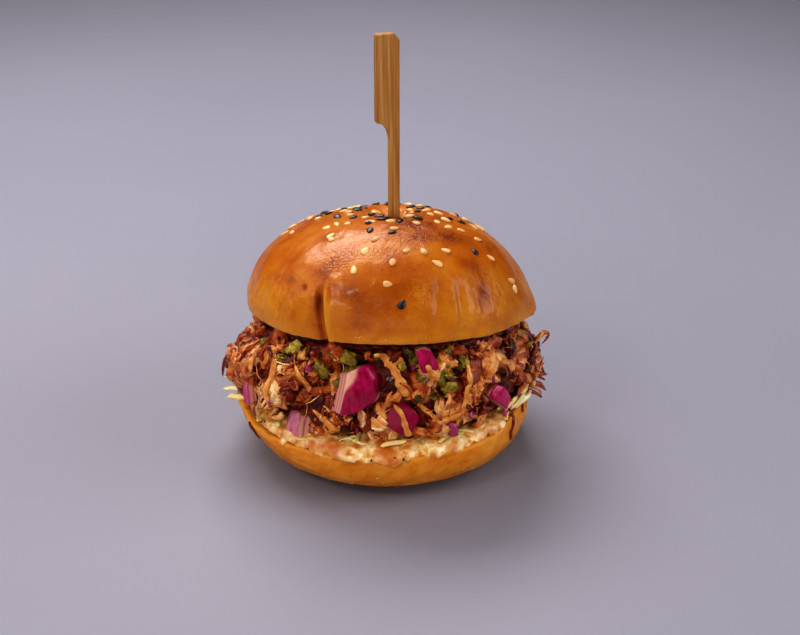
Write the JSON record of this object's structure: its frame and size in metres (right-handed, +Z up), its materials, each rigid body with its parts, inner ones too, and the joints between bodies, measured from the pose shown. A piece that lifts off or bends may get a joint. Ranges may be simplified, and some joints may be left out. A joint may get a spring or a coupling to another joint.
{
  "type": "pulled pork sandwich",
  "caption": "Seeded brioche bun heaped with pulled pork, creamy slaw, red onion and pickle relish, its crown tipped back, held together by a tall bamboo paddle pick.",
  "frame": {"origin": "centre of the flat base that the bun rests on", "axes": "+Z up, -Y towards the front, where the crown is tipped back and the filling shows most"},
  "size_m": [0.1058, 0.1022, 0.1415],
  "materials": {
    "crust": "satin",
    "cream": "satin",
    "meat": "satin",
    "relish": "gloss",
    "onion": "gloss",
    "bamboo": "matte"
  },
  "bodies": {
    "root": {"bun_heel": "crust", "slaw": "cream", "pulled_pork": "meat", "relish": "relish", "bun_crown": "crust", "pick": "bamboo", "onion_front": "onion", "onion_front_low": "onion", "onion_top_right": "onion", "onion_left_low": "onion", "onion_right": "onion", "onion_left": "onion"}
  },
  "joints": []
}
